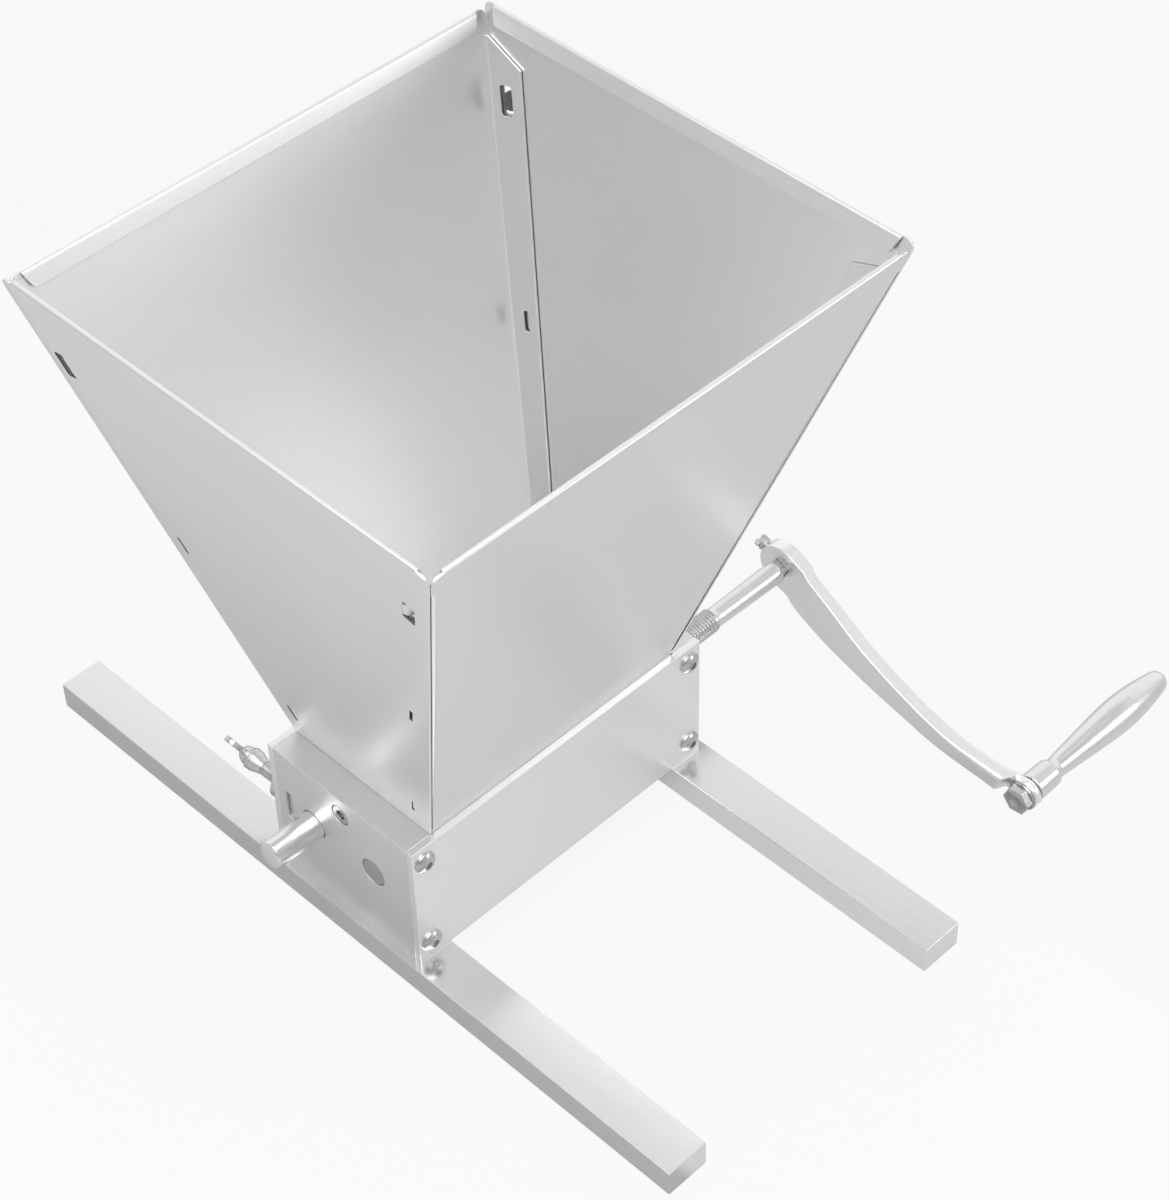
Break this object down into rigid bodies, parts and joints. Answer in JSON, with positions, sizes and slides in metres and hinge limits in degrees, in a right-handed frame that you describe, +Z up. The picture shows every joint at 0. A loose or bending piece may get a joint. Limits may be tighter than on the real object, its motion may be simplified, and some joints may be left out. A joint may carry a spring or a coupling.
{
  "type": "malt mill",
  "caption": "Hand cranked roller mill for malt: a tapered sheet hopper over a flat plate body on crossing bars, with gap adjusters, wing lock screws and a swept crank with a turning grip.",
  "frame": {"origin": "midway between the two bars, on the plane that they rest on, under the middle of the discharge opening", "axes": "+X along the rollers, towards the crank; +Y towards the lock screws at the back; +Z up, towards the hopper's mouth"},
  "size_m": [0.3619, 0.346, 0.2966],
  "materials": {
    "plate_aluminium": "satin ground plate, clear anodised, sharp edges just broken",
    "hopper_steel": "satin stainless sheet with a soft sheen",
    "roller_steel": "machined steel with straight flutes",
    "bush_bronze": "plain sintered bronze",
    "turned_steel": "turned stainless, brushed along its axis",
    "forged_steel": "satin steel, evenly brushed",
    "wing_steel": "bright stainless",
    "screw_steel": "plain stainless"
  },
  "bodies": {
    "frame": {"left_bar": "plate_aluminium", "right_bar": "plate_aluminium", "left_end_plate": "plate_aluminium", "right_end_plate": "plate_aluminium", "front_cover": "plate_aluminium", "back_cover": "plate_aluminium", "hopper_left_panel": "hopper_steel", "hopper_right_panel": "hopper_steel", "hopper_front_panel": "hopper_steel", "hopper_back_panel": "hopper_steel", "left_drive_bush": "bush_bronze", "right_drive_bush": "bush_bronze", "left_lock_nut": "screw_steel", "right_lock_nut": "screw_steel", "left_lock_bush": "screw_steel", "right_lock_bush": "screw_steel", "front_cover_screws": "screw_steel", "back_cover_screws": "screw_steel", "bar_screws": "screw_steel", "hopper_screws": "screw_steel", "hopper_nuts": "screw_steel"},
    "crank": {"drive_roller": "roller_steel", "crank_spindle": "turned_steel", "crank_arm": "forged_steel"},
    "crank_clamp": {"crank_lock_screw": "wing_steel"},
    "handle": {"handle_bolt": "screw_steel", "grip": "turned_steel"},
    "left_gap_adjuster": {"left_adjuster": "turned_steel"},
    "right_gap_adjuster": {"right_adjuster": "turned_steel"},
    "idler": {"idler_roller": "roller_steel", "left_idler_bush": "bush_bronze", "right_idler_bush": "bush_bronze"},
    "left_lock": {"left_lock_screw": "wing_steel"},
    "right_lock": {"right_lock_screw": "wing_steel"}
  },
  "joints": [
    {"name": "crank_turn", "type": "hinge", "parent": "frame", "child": "crank", "pos_m": [0, -0.0165, 0.0463], "axis": [1, 0, 0], "continuous": true},
    {"name": "crank_lock_turn", "type": "hinge", "parent": "crank", "child": "crank_clamp", "pos_m": [0.1516, -0.0165, 0.0463], "axis": [0, 0.9272, 0.3746], "range_deg": [0, 180]},
    {"name": "grip_spin", "type": "hinge", "parent": "crank", "child": "handle", "pos_m": [0.21, -0.14121, -0.00409], "axis": [1, 0, 0], "continuous": true},
    {"name": "left_gap_turn", "type": "hinge", "parent": "frame", "child": "left_gap_adjuster", "pos_m": [-0.07, 0.01692, 0.0468], "axis": [1, 0, 0], "range_deg": [-50, 110]},
    {"name": "right_gap_turn", "type": "hinge", "parent": "frame", "child": "right_gap_adjuster", "pos_m": [0.07, 0.01692, 0.0468], "axis": [1, 0, 0], "range_deg": [-50, 110]},
    {"name": "idler_spin", "type": "hinge", "parent": "left_gap_adjuster", "child": "idler", "pos_m": [0, 0.0165, 0.04589], "axis": [1, 0, 0], "continuous": true},
    {"name": "left_lock_turn", "type": "hinge", "parent": "frame", "child": "left_lock", "pos_m": [-0.07, 0.04, 0.0468], "axis": [0, 1, 0], "range_deg": [0, 180]},
    {"name": "right_lock_turn", "type": "hinge", "parent": "frame", "child": "right_lock", "pos_m": [0.07, 0.04, 0.0468], "axis": [0, 1, 0], "range_deg": [0, 180]}
  ],
  "couplings": [
    {"joint": "right_gap_turn", "follows": "left_gap_turn", "ratio": 1}
  ]
}
